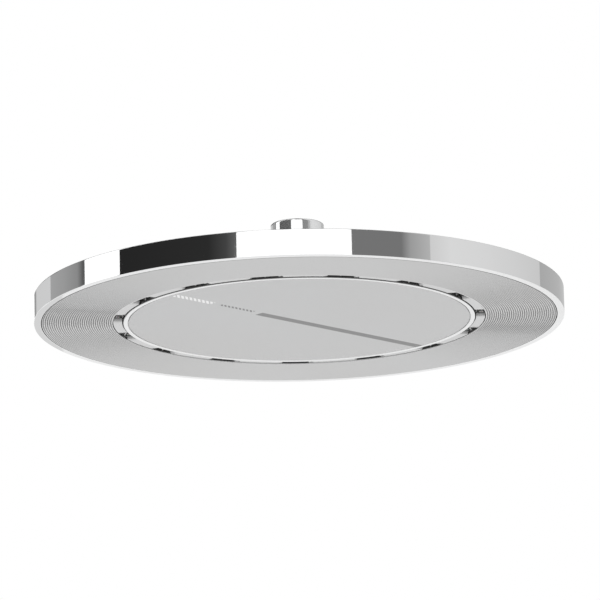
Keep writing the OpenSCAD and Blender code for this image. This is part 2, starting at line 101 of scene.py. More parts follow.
# The jet ring, its pockets and their teeth. Bases and tips are measured from the ring's inner edge
JET_IN_R = BEZEL_R + 0.5 * MM
JET_OUT_R = JET_IN_R + 4.6 * MM
JET_FACE_R = JET_OUT_R - 0.3 * MM
Z_JET = jets_low.z
POCKETS = 15
POCKET_HALF = 6.7 * MM
POCKET_DRAFT = 1.1 * MM
POCKET_DEPTH = 1.6 * MM
TOOTH_LOW = 0.45 * MM
TOOTH_HALF = 1.15 * MM
INNER_BASE, INNER_TIP = 0.55 * MM, 0.12 * MM
OUTER_BASE, OUTER_TIP = 2.4 * MM, 3.45 * MM


# ---- Mesh tools ----

WELD_DISTANCE = 0.002 * MM
SHARP_ANGLE = 38
AXIS_LIMIT = 1e-9


def arc_points(centre, radius, start, end, steps):
    """Points of an arc in the (radius, height) plane, angles in degrees."""
    points = []
    for i in range(steps + 1):
        a = math.radians(start + (end - start) * i / steps)
        points.append((centre[0] + radius * math.cos(a), centre[1] + radius * math.sin(a)))
    return points


def rounded(corners, steps=5, support=0.12 * MM):
    """A closed outline whose corners (radius, height, fillet) are rounded.

    Each long straight run also gets a point close to both ends, so that smooth shading stays flat.
    """
    out = []
    count = len(corners)
    runs = []
    for i, (x, z, fillet) in enumerate(corners):
        here = Vector((x, z))
        before = Vector(corners[i - 1][:2]) - here
        after = Vector(corners[(i + 1) % count][:2]) - here
        if fillet <= 0 or before.length == 0 or after.length == 0:
            runs.append([here])
            continue
        angle = before.angle(after)
        reach = min(fillet / math.tan(angle / 2), before.length * 0.49, after.length * 0.49)
        radius = reach * math.tan(angle / 2)
        middle = (before.normalized() + after.normalized()).normalized()
        centre = here + middle * (radius / math.sin(angle / 2))
        first = here + before.normalized() * reach - centre
        last = here + after.normalized() * reach - centre
        turn = first.angle_signed(last)
        arc = []
        for k in range(steps + 1):
            a = -turn * k / steps
            arc.append(centre + Vector((
                first.x * math.cos(a) - first.y * math.sin(a),
                first.x * math.sin(a) + first.y * math.cos(a),
            )))
        runs.append(arc)
    for i, run in enumerate(runs):
        out.extend(run)
        gap = runs[(i + 1) % count][0] - run[-1]
        if gap.length > 4 * support:
            step = gap.normalized() * support
            out.append(run[-1] + step)
            out.append(runs[(i + 1) % count][0] - step)
    return [(p.x, p.y) for p in out]


def finish_mesh(bm, name, body, node=None):
    """Turns a bmesh into a smooth-shaded piece that rides on a body and stands for a CAD node."""
    bmesh.ops.remove_doubles(bm, verts=bm.verts, dist=WELD_DISTANCE)
    bmesh.ops.recalc_face_normals(bm, faces=bm.faces)
    mesh = bpy.data.meshes.new(name)
    bm.to_mesh(mesh)
    bm.free()
    for polygon in mesh.polygons:
        polygon.use_smooth = True
    mesh.set_sharp_from_angle(angle=math.radians(SHARP_ANGLE))
    piece = bpy.data.objects.new(name, mesh)
    bpy.context.scene.collection.objects.link(piece)
    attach(piece, body)
    if node:
        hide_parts(node)
    return piece


def turned(outline, segments=320):
    """A bmesh of a closed outline (radius, height) turned round the Z axis."""
    bm = bmesh.new()
    rings = []
    for s in range(segments):
        a = 2 * math.pi * s / segments
        rings.append([bm.verts.new((r * math.cos(a), r * math.sin(a), z)) for r, z in outline])
    count = len(outline)
    for s in range(segments):
        here, there = rings[s], rings[(s + 1) % segments]
        for i in range(count):
            j = (i + 1) % count
            on_axis = [outline[i][0] < AXIS_LIMIT, outline[j][0] < AXIS_LIMIT]
            if all(on_axis):
                continue
            if on_axis[0]:
                bm.faces.new((here[i], there[j], here[j]))
            elif on_axis[1]:
                bm.faces.new((here[i], there[i], here[j]))
            else:
                bm.faces.new((here[i], there[i], there[j], here[j]))
    return bm


# ---- Pieces ----

def back_height(r):
    """Height of the back's outer face: flat in the middle, then falling to the rim."""
    flat_r = 26 * MM
    s = max(0.0, r - flat_r) / (HEAD_R - RIM_EDGE - flat_r)
    return Z_RIM + (Z_BACK - Z_RIM) * (1 - s * s)


def make_shell():
    """Dished chrome back with its rim, lip, snap groove and hub hole."""
    wall = 2 * MM
    hole_r = 14.5 * MM
    hole_edge = 0.3 * MM
    lip_edge = 0.12 * MM
    edge = RIM_EDGE
    top_r = HEAD_R - edge - 0.5 * MM
    dome_steps = 40
    outline = rounded([
        (LIP_R, Z_FACE, lip_edge),
        (HEAD_R, Z_FACE, edge),
        (HEAD_R, Z_RIM - edge, 0),
    ])[:-2]
    outline += arc_points((HEAD_R - edge, Z_RIM - edge), edge, 0, 90, 8)
    outer_end = hole_r + hole_edge + 0.1 * MM
    for i in range(dome_steps + 1):
        r = top_r - (top_r - outer_end) * i / dome_steps
        outline.append((r, back_height(r)))
    outline += arc_points((hole_r + hole_edge, Z_BACK - hole_edge), hole_edge, 90, 180, 4)
    outline.append((hole_r, Z_BACK - wall))
    for i in range(dome_steps + 1):
        r = hole_r + (LIP_R - edge - hole_r) * i / dome_steps
        outline.append((r, back_height(r) - wall))
    outline += [
        (LIP_R, back_height(LIP_R - edge) - wall - edge),
        (LIP_R, SNAP_Z + SNAP_HEIGHT),
        (LIP_R + SNAP_DEPTH, SNAP_Z + SNAP_HEIGHT),
        (LIP_R + SNAP_DEPTH, SNAP_Z),
        (LIP_R, SNAP_Z),
    ]
    return finish_mesh(turned(outline, 480), "shell_skin", "head", "back_shell")


def make_face_ring():
    """Ring of fine concentric ridges, with the skirt that snaps into the shell."""
    out_r = FACE_OUT_R
    land = 0.35 * MM
    height = 0.45 * MM
    per_ridge = 10
    pitch = (out_r - JET_OUT_R - 2 * land) / RIDGES
    skirt_in = out_r - 2.4 * MM
    skirt_top = Z_FACE + 6.2 * MM
    plate_top = Z_FACE + 1.7 * MM
    play = 0.05 * MM
    outline = [(JET_OUT_R, plate_top), (JET_OUT_R, Z_FACE + 0.1 * MM),
               (JET_OUT_R + 0.04 * MM, Z_FACE + 0.03 * MM), (JET_OUT_R + 0.12 * MM, Z_FACE)]
    for i in range(RIDGES * per_ridge + 1):
        r = JET_OUT_R + land + pitch * i / per_ridge
        outline.append((r, Z_FACE + height * (0.5 - 0.5 * math.cos(2 * math.pi * i / per_ridge))))
    outline += [
        (out_r - GROOVE_W, Z_FACE),
        (out_r - GROOVE_W + 0.04 * MM, Z_FACE + 0.02 * MM),
        (out_r, Z_FACE + GROOVE_DEPTH),
        (out_r, SNAP_Z + play),
        (out_r + SNAP_DEPTH, SNAP_Z + play),
        (out_r, SNAP_Z + SNAP_HEIGHT - play),
        (out_r, skirt_top),
        (skirt_in, skirt_top),
        (skirt_in, plate_top),
    ]
    return finish_mesh(turned(outline, 400), "ridged_face", "head", "face_ring")


def make_bezel():
    """Polished trim ring with eased edges and a hook that goes over the disc carrier."""
    edge = 0.25 * MM
    z_top = Z_FACE + 3.2 * MM
    z_hook = Z_FACE + 2.7 * MM
    z_ledge = Z_FACE + 0.7 * MM
    hook_r = BEZEL_R - 1.2 * MM
    wall_r = BEZEL_IN_R + 1.05 * MM
    outline = rounded([
        (BEZEL_IN_R, Z_FACE, edge),
        (BEZEL_R, Z_FACE, edge),
        (BEZEL_R, z_top, 0.1 * MM),
        (hook_r, z_top, 0),
        (hook_r, z_hook, 0),
        (wall_r, z_hook, 0),
        (wall_r, z_ledge, 0),
        (BEZEL_IN_R, z_ledge, 0),
    ])
    return finish_mesh(turned(outline, 400), "bezel_trim", "head", "disc_bezel")


def make_disc():
    """Satin centre disc with a stepped, eased edge."""
    z_low = disc_low.z
    z_top = disc_high.z
    z_step = z_low + 0.65 * MM
    outline = rounded([
        (0, z_low, 0),
        (DISC_R, z_low, 0.15 * MM),
        (DISC_R, z_step, 0),
        (disc_high.x, z_step, 0),
        (disc_high.x, z_top, 0),
        (0, z_top, 0),
    ])
    off_axis = [p for p in outline if p[0] > AXIS_LIMIT]
    outline = [(0, z_low)] + off_axis + [(0, z_top)]
    return finish_mesh(turned(outline, 400), "disc_face", "head", "centre_disc")


def pocket_height(t):
    """How far the pocket's floor is above the jet ring's face at a distance t from its middle."""
    t = abs(t)
    if t >= POCKET_HALF:
        return 0.0
    return min(POCKET_DEPTH, POCKET_DEPTH * (POCKET_HALF - t) / POCKET_DRAFT)


def pocket_stations():
    """Distances from the pocket's middle at which its floor turns, with eased corners."""
    ease = 0.06 * MM
    found = {0.0}
    for corner in (POCKET_HALF - POCKET_DRAFT, POCKET_HALF):
        for side in (-1, 1):
            for shift in (-ease, ease):
                found.add(side * (corner + shift))
    for i in range(-5, 6):
        found.add(i * POCKET_HALF / 5.5)
    return sorted(found)


def make_jet_ring():
    """Ring between bezel and ridges, with its pockets, and the clamped flange."""
    bm = bmesh.new()
    middle_r = (JET_IN_R + JET_OUT_R) / 2
    z_flange = Z_FACE + 1.8 * MM
    flange_r = jets_high.x
    ease = 0.1 * MM
    recess_r = nozzles_high.x + 0.05 * MM
    recess_z = jets_high.z - 1 * MM
    radii = [JET_IN_R, JET_IN_R + ease, JET_FACE_R - ease, JET_FACE_R]
    behind = [(JET_FACE_R, z_flange), (flange_r, z_flange), (flange_r, jets_high.z),
              (recess_r, jets_high.z), (recess_r, recess_z), (JET_IN_R, recess_z)]
    columns = []
    pitch = 2 * math.pi / POCKETS
    between = 10
    for k in range(POCKETS):
        start = k * pitch
        stations = pocket_stations()
        columns += [(start, t, pocket_height(t)) for t in stations]
        edge_angle = math.atan2(stations[-1], middle_r)
        columns += [(start + edge_angle + (pitch - 2 * edge_angle) * i / between, 0.0, 0.0)
                    for i in range(1, between)]
    rings = []
    for start, t, lift in columns:
        ring = []
        for i, r in enumerate(radii):
            across = math.sqrt(r * r - t * t)
            edge = ease if i in (0, 3) else 0.0
            ring.append((across * math.cos(start) - t * math.sin(start),
                         across * math.sin(start) + t * math.cos(start), Z_JET + max(lift, edge)))
        angle = start + math.asin(t / middle_r)
        ring += [(r * math.cos(angle), r * math.sin(angle), z) for r, z in behind]
        rings.append([bm.verts.new(p) for p in ring])
    count = len(rings[0])
    for s, here in enumerate(rings):
        there = rings[(s + 1) % len(rings)]
        for i in range(count):
            j = (i + 1) % count
            bm.faces.new((here[i], there[i], there[j], here[j]))
    return finish_mesh(bm, "pocket_ring", "head", "jet_ring")


def add_tooth(bm, angle, base, tip):
    """Roof-shaped tooth that hangs in a pocket. base and tip are its spans along the radius."""
    z_base = Z_JET + POCKET_DEPTH + 0.2 * MM
    z_tip = Z_JET + TOOTH_LOW
    half = TOOTH_HALF * (z_base - z_tip) / (POCKET_DEPTH - TOOTH_LOW)
    points = [(r, t, z_base) for r in base for t in (-half, half)] + [(r, 0.0, z_tip) for r in tip]
    verts = [bm.verts.new((r * math.cos(angle) - t * math.sin(angle),
                           r * math.sin(angle) + t * math.cos(angle), z)) for r, t, z in points]
    faces = [(0, 1, 3, 2), (0, 4, 1), (2, 3, 5), (0, 2, 5, 4), (1, 4, 5, 3)]
    return [bm.faces.new([verts[i] for i in face]) for face in faces]


def make_teeth():
    """Two teeth in the middle of every pocket, an inner and an outer one, with a notch between."""
    bm = bmesh.new()
    inner_end = JET_IN_R + 0.02 * MM
    for k in range(POCKETS):
        angle = 2 * math.pi * k / POCKETS
        add_tooth(bm, angle, (inner_end, JET_IN_R + INNER_BASE), (inner_end, JET_IN_R + INNER_TIP))
        add_tooth(bm, angle, (JET_IN_R + OUTER_BASE, JET_FACE_R), (JET_IN_R + OUTER_TIP, JET_FACE_R))
    bmesh.ops.bevel(bm, geom=list(bm.edges), offset=0.03 * MM, segments=2, affect="EDGES",
                    clamp_overlap=True)
    return finish_mesh(bm, "pocket_teeth", "head")


def make_stem():
    """Round collar with an eased mouth, tapered shoulder, neck and ball, bored through."""
    bore_r = 4.2 * MM
    seat_r = 9.5 * MM
    z_seat = -12.5 * MM
    regulator_r = 6.9 * MM
    z_regulator = -15.2 * MM
    neck_r = 6.5 * MM
    z_neck = -17 * MM
    outline = rounded([
        (THREAD_R, 0, 0.7 * MM),
        (COLLAR_R, 0, 1.2 * MM),
        (COLLAR_R, -10 * MM, 0.6 * MM),
        (8.4 * MM, -15.5 * MM, 0.6 * MM),
        (neck_r, z_neck, 0.8 * MM),
        (neck_r, z_neck - 1 * MM, 0),
    ], steps=8)[:-2]
    neck_angle = math.degrees(math.asin(neck_r / BALL_R))
    bore_angle = math.degrees(math.asin(bore_r / BALL_R))
    outline += arc_points((0, Z_BALL), BALL_R, 90 - neck_angle, -90 + bore_angle, 48)
    outline += [
        (bore_r, z_regulator),
        (regulator_r, z_regulator),
        (regulator_r, z_seat),
        (seat_r, z_seat),
        (seat_r, -THREAD_DEPTH),
        (THREAD_R, -THREAD_DEPTH),
    ]
    return finish_mesh(turned(outline, 256), "inlet_collar", "stem", "ball_stem")


def make_thread():
    """Internal pipe thread: a rounded ridge that winds down the inlet's wall and fades at both ends."""
    thread_pitch = 1.814 * MM
    ridge = 1.1 * MM
    end_gap = 1.1 * MM
    root = THREAD_R + 0.02 * MM
    turns = (THREAD_DEPTH - 2 * end_gap) / thread_pitch
    per_turn = 96
    steps = int(turns * per_turn)
    fade_steps = 30
    section = [(-0.46, 0.0), (-0.2, 0.72), (-0.1, 0.94), (0.0, 1.0), (0.1, 0.94), (0.2, 0.72), (0.46, 0.0)]
    bm = bmesh.new()
    rings = []
    for i in range(steps + 1):
        a = 2 * math.pi * i / per_turn
        fade = min(1.0, i / fade_steps, (steps - i) / fade_steps)
        height = ridge * (0.04 + 0.96 * fade)
        z = -end_gap - thread_pitch * i / per_turn
        rings.append([bm.verts.new(((root - height * h) * math.cos(a), (root - height * h) * math.sin(a),
                                    z + along * thread_pitch)) for along, h in section])
    for here, there in zip(rings, rings[1:]):
        for j in range(len(section)):
            k = (j + 1) % len(section)
            bm.faces.new((here[j], there[j], there[k], here[k]))
    bm.faces.new(rings[0])
    bm.faces.new(rings[-1][::-1])
    return finish_mesh(bm, "inlet_thread", "stem")


def make_nut():
    """Retaining nut with a thread bore, ball cup, flared mouth and two wrench flats."""
    z_low, z_top = nut_low.z, nut_high.z
    flats = NUT_R - 1.2 * MM
    z_flats = z_top - 8 * MM
    bore_r = 14.35 * MM
    mouth_r = 10.4 * MM
    throat_r = 8.9 * MM
    z_throat = Z_BALL + 4.65 * MM
    z_cup = Z_BALL + 2.05 * MM
    outline = rounded([
        (bore_r, z_low, 0.2 * MM),
        (NUT_R, z_low, 0.4 * MM),
        (NUT_R, z_flats, 0),
        (NUT_R, z_flats + 0.02 * MM, 0),
        (NUT_R, z_top, 0.8 * MM),
        (mouth_r, z_top, 0.25 * MM),
        (throat_r, z_throat, 0),
        (11 * MM, z_throat, 0),
        (11.7 * MM, z_cup, 0),
        (bore_r, z_cup, 0),
    ], steps=6)
    bm = turned(outline, 256)
    for v in bm.verts:
        if v.co.z > z_flats + 0.01 * MM:
            v.co.x = max(-flats, min(flats, v.co.x))
    return finish_mesh(bm, "swivel_nut", "head", "retaining_nut")


# ---- Materials ----

class Shader:
    """A material's node tree, built a node at a time."""

    def __init__(self, name):
        self.material = bpy.data.materials.new(name)
        self.material.use_nodes = True
        self.tree = self.material.node_tree
        self.surface = self.tree.nodes["Principled BSDF"]
        self.place = self.add("ShaderNodeTexCoord").outputs["Object"]

    def add(self, kind, inputs=None, **settings):
        node = self.tree.nodes.new(kind)
        for key, value in settings.items():
            setattr(node, key, value)
        for key, value in (inputs or {}).items():
            if isinstance(value, bpy.types.NodeSocket):
                self.tree.links.new(value, node.inputs[key])
            else:
                node.inputs[key].default_value = value
        return node

    def maths(self, operation, a, b=None, c=None):
        inputs = {i: v for i, v in enumerate((a, b, c)) if v is not None}
        return self.add("ShaderNodeMath", inputs, operation=operation).outputs[0]

    def noise(self, scale, detail=2.0, stretch=None, roughness=0.5):
        place = self.place
        if stretch:
            place = self.add("ShaderNodeMapping", {"Vector": place, "Scale": stretch}).outputs[0]
        return self.add("ShaderNodeTexNoise", {"Vector": place, "Scale": scale, "Detail": detail,
                                               "Roughness": roughness}).outputs["Fac"]

    def remap(self, value, low, high, from_low=0.3, from_high=0.7):
        return self.add("ShaderNodeMapRange", {"Value": value, "From Min": from_low, "From Max": from_high,
                                               "To Min": low, "To Max": high}).outputs[0]

    def mix(self, factor, a, b):
        node = self.add("ShaderNodeMix", data_type="RGBA")
        for key, value in ((0, factor), (6, a), (7, b)):
            if isinstance(value, bpy.types.NodeSocket):
                self.tree.links.new(value, node.inputs[key])
            else:
                node.inputs[key].default_value = value
        return node.outputs[2]

    def set(self, **sockets):
        for key, value in sockets.items():
            socket = self.surface.inputs[key.replace("_", " ")]
            if isinstance(value, bpy.types.NodeSocket):
                self.tree.links.new(value, socket)
            else:
                socket.default_value = value

    def height(self):
        """Height in the part's frame."""
        return self.add("ShaderNodeSeparateXYZ", {"Vector": self.place}).outputs["Z"]

    def radius(self):
        """Distance from the part's upright axis."""
        flat = self.add("ShaderNodeVectorMath", {0: self.place, 1: (1, 1, 0)}, operation="MULTIPLY")
        return self.add("ShaderNodeVectorMath", {0: flat.outputs[0]}, operation="LENGTH").outputs["Value"]

    def bump(self, height, strength, distance):
        node = self.add("ShaderNodeBump", {"Height": height, "Strength": strength, "Distance": distance})
        self.tree.links.new(node.outputs[0], self.surface.inputs["Normal"])


def grey(value, warm=0.0):
    """A linear grey, warmer when warm is above 0."""
    return (value * (1 + warm), value, value * (1 - warm), 1.0)


def seam_shade_tone(s, mouth):
    """Painted shade in a seam on the face: a tone at its mouth, and darker painted shade above it where the
    pockets lay it open.
    """
    return s.mix(s.maths("GREATER_THAN", s.height(), Z_JET + 0.1 * MM), grey(mouth), grey(0.05))


def chrome_material(name, metallic=1.0, seam=None, mouth=0.0):
    """Bright plating: faint haze and dried-water marks in the roughness, and a trace of waviness.

    seam is a comparison and a radius. Where the comparison holds near the face, the plating gives way to a dark
    painted shade in the seam, and mouth is the tone of that painted shade at the face.
    """
    s = Shader(name)
    haze = s.remap(s.noise(38, 4), 0.014, 0.04)
    spots = s.add("ShaderNodeTexVoronoi", {"Vector": s.place, "Scale": 210.0}, feature="F1")
    ring = s.remap(spots.outputs["Distance"], 0.03, 0.0, 0.08, 0.16)
    tone = s.mix(s.remap(s.noise(11, 3), 0.0, 1.0), grey(0.88), grey(0.92, -0.006))
    if seam:
        near_face = s.maths("LESS_THAN", s.height(), SEAM_TOP)
        # Painted shade: near the face the plating turns into a dark, non-metallic seam.
        seam_painted_shade = s.maths("MULTIPLY", near_face, s.maths(seam[0], s.radius(), seam[1]))
        metallic = s.remap(seam_painted_shade, metallic, 0.0, 0.0, 1.0)
        tone = s.mix(seam_painted_shade, tone, seam_shade_tone(s, mouth))
    s.set(Metallic=metallic, Base_Color=tone, Roughness=s.maths("ADD", haze, ring))
    s.bump(s.noise(70, 1), 0.02, 0.02 * MM)
    return s.material


def pocket_ring_material():
    """Satin plating on the jet ring's face. Inside its pockets it gives way to grey moulded plastic with painted
    shade that darkens with depth to a near-black painted floor.
    """
    s = Shader("plated_pockets")
    depth = s.maths("SUBTRACT", s.height(), Z_JET)
    bare = s.remap(depth, 0.0, 1.0, 0.1 * MM, 0.16 * MM)
    # Painted shade: the pocket walls darken with depth, and the floor is painted near black.
    wall = s.mix(s.remap(depth, 0.0, 1.0, 0.1 * MM, POCKET_DEPTH), grey(0.55), grey(0.26))
    pocket_moulding_and_shade = s.mix(s.maths("GREATER_THAN", depth, POCKET_DEPTH - 0.1 * MM), wall, grey(0.006))
    plate = s.mix(s.remap(s.noise(26, 3), 0.0, 1.0), grey(0.6), grey(0.64, -0.005))
    s.set(Metallic=s.remap(bare, 1.0, 0.0, 0.0, 1.0), Base_Color=s.mix(bare, plate, pocket_moulding_and_shade),
          Roughness=s.remap(bare, 0.07, 0.6, 0.0, 1.0))
    s.bump(s.noise(900, 2), 0.05, 0.01 * MM)
    return s.material


def tooth_material():
    """Teeth painted near black as shade in the pocket, with metallic, lighter bands along the edges of the notch
    placed as painted highlights.
    """
    s = Shader("pocket_teeth_mould")
    depth = s.maths("SUBTRACT", s.height(), Z_JET)
    along = s.maths("SUBTRACT", s.radius(), JET_IN_R)
    inner_flank = s.remap(depth, INNER_TIP, INNER_BASE, TOOTH_LOW, POCKET_DEPTH)
    outer_flank = s.remap(depth, OUTER_TIP, OUTER_BASE, TOOTH_LOW, POCKET_DEPTH)
    inner_highlight_band = s.maths("COMPARE", along, inner_flank, 0.2 * MM)
    outer_highlight_band = s.maths("COMPARE", along, outer_flank, 0.18 * MM)
    # Painted shade and highlight: the teeth are near black, with lighter metallic bands along the notch edges.
    edge = s.maths("MAXIMUM", inner_highlight_band, outer_highlight_band)
    s.set(Metallic=edge, Base_Color=s.mix(edge, grey(0.02), grey(0.45)),
          Roughness=s.remap(s.noise(700, 2), 0.16, 0.3))
    s.bump(s.noise(900, 2), 0.05, 0.01 * MM)
    return s.material


def stripe_mask(s, x, y, x_low, x_high, half_width):
    """1 inside a bar along X, with edges as sharp as print."""
    blur = 0.06 * MM
    start = s.remap(x, 0.0, 1.0, x_low - blur, x_low + blur)
    stop = s.remap(x, 1.0, 0.0, x_high - blur, x_high + blur)
    side = s.remap(s.maths("ABSOLUTE", y), 1.0, 0.0, half_width - blur, half_width + blur)
    return s.maths("MULTIPLY", s.maths("MULTIPLY", start, stop), side)


def disc_material():
    """Satin metal: fine blasted grain, soft tone drift, a printed stripe and plain print marks."""
    stripe_start, stripe_y, stripe_half = -24.5 * MM, 1.5 * MM, 2.5 * MM
    past_edge = 2 * DISC_R
    bar_start, bar_end, bar_half = -79 * MM, -55 * MM, 1.9 * MM
    small_start, small_end, small_half = -50.4 * MM, -29.2 * MM, 1.2 * MM
    block_half_pitch, dash_half_pitch, half_gap = 1.3 * MM, 1.15 * MM, 0.5 * MM
    s = Shader("satin_disc_face")
    split = s.add("ShaderNodeSeparateXYZ", {"Vector": s.place})
    x, y = split.outputs["X"], split.outputs["Y"]
    grain = s.noise(2600, 2)
    tone = s.mix(s.remap(s.noise(9, 2), 0.0, 1.0), grey(0.61, 0.004), grey(0.625, -0.006))
    tone = s.mix(s.remap(grain, 0.0, 0.4), tone, grey(0.58))
    stripe = stripe_mask(s, x, s.maths("SUBTRACT", y, stripe_y), stripe_start, past_edge, stripe_half)
    tone = s.mix(stripe, tone, grey(0.25))
    slant = s.maths("SUBTRACT", x, y)
    blocks = s.maths("GREATER_THAN", s.maths("PINGPONG", slant, block_half_pitch), half_gap)
    bar = s.maths("MULTIPLY", blocks, stripe_mask(s, x, y, bar_start, bar_end, bar_half))
    tone = s.mix(bar, tone, grey(0.95))
    dashes = s.maths("GREATER_THAN", s.maths("PINGPONG", slant, dash_half_pitch), half_gap)
    small = s.maths("MULTIPLY", dashes, stripe_mask(s, x, y, small_start, small_end, small_half))
    tone = s.mix(small, tone, grey(0.22))
    s.set(Metallic=s.remap(bar, 0.85, 0.2, 0.0, 1.0), Base_Color=tone, Roughness=s.remap(grain, 0.36, 0.48))
    s.bump(grain, 0.08, 0.02 * MM)
    return s.material


def ridge_material():
    """Satin silver finish of the ridges: painted shade in the valleys, fine turning marks, and a groove round the
    edge painted dark as shade.
    """
    s = Shader("satin_ridge_face")
    radius = s.radius()
    rings = s.maths("MULTIPLY", radius, 9000.0)
    turning = s.add("ShaderNodeTexNoise", {"W": rings, "Scale": 1.0, "Detail": 2.0},
                    noise_dimensions="1D").outputs["Fac"]
    grain = s.noise(1800, 2)
    depth = s.maths("SUBTRACT", s.height(), Z_FACE)
    inner_wall_shade = s.maths("MULTIPLY", s.remap(depth, 0.0, 1.0, 0.08 * MM, 0.14 * MM),
                         s.maths("LESS_THAN", radius, JET_OUT_R + 0.05 * MM))
    tone = s.mix(s.remap(s.noise(12, 2), 0.0, 1.0), grey(0.66, 0.003), grey(0.69, -0.004))
    # Painted shade: the ridges' valleys darken with depth.
    tone = s.mix(s.remap(depth, 0.0, 1.0, 0.12 * MM, 0.34 * MM), tone, grey(0.17))
    # Painted shade: the groove round the outer edge is painted near black.
    groove = s.maths("MULTIPLY", s.maths("GREATER_THAN", depth, 0.03 * MM),
                     s.maths("GREATER_THAN", radius, FACE_OUT_R - GROOVE_W + 0.05 * MM))
    tone = s.mix(groove, tone, grey(0.06))
    # Painted shade: the inner wall by the jet ring gets a dark seam.
    tone = s.mix(inner_wall_shade, tone, seam_shade_tone(s, 0.6))
    s.set(Metallic=s.remap(inner_wall_shade, 1.0, 0.0, 0.0, 1.0), Base_Color=tone,
          Roughness=s.maths("ADD", s.remap(turning, 0.1, 0.15), s.remap(grain, 0.0, 0.03)))
    s.bump(turning, 0.04, 0.01 * MM)
    return s.material


def brass_material():
    """Machined brass: turning lines and a little tarnish."""
    s = Shader("machined_brass")
    lines = s.noise(60, 3, stretch=(1.0, 1.0, 60.0))
    tarnish = s.remap(s.noise(90, 4), 0.0, 1.0)
    s.set(Metallic=1.0, Base_Color=s.mix(tarnish, (0.72, 0.52, 0.22, 1), (0.55, 0.38, 0.15, 1)),
          Roughness=s.remap(lines, 0.18, 0.36))
    s.bump(lines, 0.15, 0.02 * MM)
    return s.material


def plastic_material(name, dark, light, low, high):
    """Moulded plastic: fine spark texture and a slight drift in tone."""
    s = Shader(name)
    texture = s.noise(1500, 3)
    s.set(Base_Color=s.mix(s.remap(s.noise(35, 2), 0.0, 1.0), dark, light),
          Roughness=s.remap(texture, low, high))
    s.bump(texture, 0.15, 0.02 * MM)
    return s.material


def rubber_material(name, dark, light):
    """Seal rubber: matte, with a powdery bloom."""
    s = Shader(name)
    bloom = s.noise(260, 4)
    s.set(Base_Color=s.mix(s.remap(bloom, 0.0, 1.0), dark, light), Roughness=s.remap(bloom, 0.55, 0.8))
    s.bump(s.noise(1900, 2), 0.2, 0.02 * MM)
    return s.material


def silicone_material():
    """Soft translucent grey silicone."""
    s = Shader("silicone_grey")
    cloud = s.noise(120, 3)
    s.set(Base_Color=s.mix(s.remap(cloud, 0.0, 1.0), grey(0.36), grey(0.44)),
          Roughness=s.remap(cloud, 0.38, 0.5), Subsurface_Weight=0.15, Subsurface_Scale=0.6 * MM)
    s.bump(s.noise(1400, 2), 0.12, 0.02 * MM)
    return s.material


def steel_material():
    """Plain stainless fasteners and mesh: fine brushing."""
    s = Shader("stainless_steel")
    brush = s.noise(120, 3, stretch=(1.0, 24.0, 1.0))
    s.set(Metallic=1.0, Base_Color=s.mix(s.remap(brush, 0.0, 1.0), grey(0.48), grey(0.56)),
          Roughness=s.remap(brush, 0.2, 0.34))
    s.bump(brush, 0.1, 0.01 * MM)
    return s.material


# ---- Studio ----

AZIMUTH = -43.5
ELEVATION = -13.98
DISTANCE = 2.807
LENS = 357.3
ROLL = 1.25
AIM_RIGHT = 0.35 * MM
AIM_UP = 9.95 * MM
CARD_DISTANCE = 9.0
FLOOR_Z = -1.6
FLOOR_SIZE = 40


def make_camera():
    """The long-lens camera that looks up at the face, slightly from below."""
    a, e = math.radians(AZIMUTH), math.radians(ELEVATION)
    toward = Vector((math.sin(a) * math.cos(e), -math.cos(a) * math.cos(e), math.sin(e)))
    level_right = Vector((0, 0, 1)).cross(toward).normalized()
    level_up = toward.cross(level_right)
    roll = math.radians(ROLL)
    right = level_right * math.cos(roll) - level_up * math.sin(roll)
    up = level_up * math.cos(roll) + level_right * math.sin(roll)
    aim = Vector((0, 0, Z_FACE)) + right * AIM_RIGHT + up * AIM_UP
    data = bpy.data.cameras.new("camera")
    data.lens = LENS
    data.sensor_width = 36
    data.clip_end = 200
    camera = bpy.data.objects.new("camera", data)
    bpy.context.scene.collection.objects.link(camera)
    frame_of = Matrix((right, up, toward)).transposed().to_4x4()
    frame_of.translation = aim + toward * DISTANCE
    camera.matrix_world = frame_of
    bpy.context.scene.camera = camera


def stage_material(name, strength_of):
    """Light-giving card whose strength runs along its width through the given stops."""
    material = bpy.data.materials.new(name)
    material.use_nodes = True
    tree = material.node_tree
    tree.nodes.clear()
    out = tree.nodes.new("ShaderNodeOutputMaterial")
    emit = tree.nodes.new("ShaderNodeEmission")
    ramp = tree.nodes.new("ShaderNodeValToRGB")
    uv = tree.nodes.new("ShaderNodeUVMap")
    split = tree.nodes.new("ShaderNodeSeparateXYZ")
    tree.links.new(uv.outputs[0], split.inputs[0])
    tree.links.new(split.outputs[0], ramp.inputs[0])
    tree.links.new(ramp.outputs[0], emit.inputs[0])
    tree.links.new(emit.outputs[0], out.inputs[0])
    stops = ramp.color_ramp.elements
    while len(stops) < len(strength_of):
        stops.new(0.5)
    for stop, (at, value) in zip(stops, strength_of):
        stop.position = at
        stop.color = (value, value, value, 1)
    return material


def make_card(name, start, end, low, high, strength_of, radius=CARD_DISTANCE):
    """Curved card that only reflections see. Angles are from the camera's side, right positive."""
    columns, rows = 24, 12
    base = math.radians(AZIMUTH)
    verts, faces, uvs = [], [], []
    for i in range(columns + 1):
        a = base + math.radians(start + (end - start) * i / columns)
        for j in range(rows + 1):
            e = math.radians(low + (high - low) * j / rows)
            verts.append((radius * math.sin(a) * math.cos(e), -radius * math.cos(a) * math.cos(e),
                          radius * math.sin(e)))
            uvs.append((i / columns, j / rows))
    for i in range(columns):
        for j in range(rows):
            k = i * (rows + 1) + j
            faces.append((k, k + 1, k + rows + 2, k + rows + 1))
    mesh = bpy.data.meshes.new(name)
    mesh.from_pydata(verts, [], faces)
    layer = mesh.uv_layers.new(name="card")
    for loop in mesh.loops:
        layer.data[loop.index].uv = uvs[loop.vertex_index]
    mesh.materials.append(stage_material(name + "_light", strength_of))
    card = bpy.data.objects.new(name, mesh)
    bpy.context.scene.collection.objects.link(card)
    card.visible_camera = False
    card.visible_diffuse = False
    card.visible_shadow = False


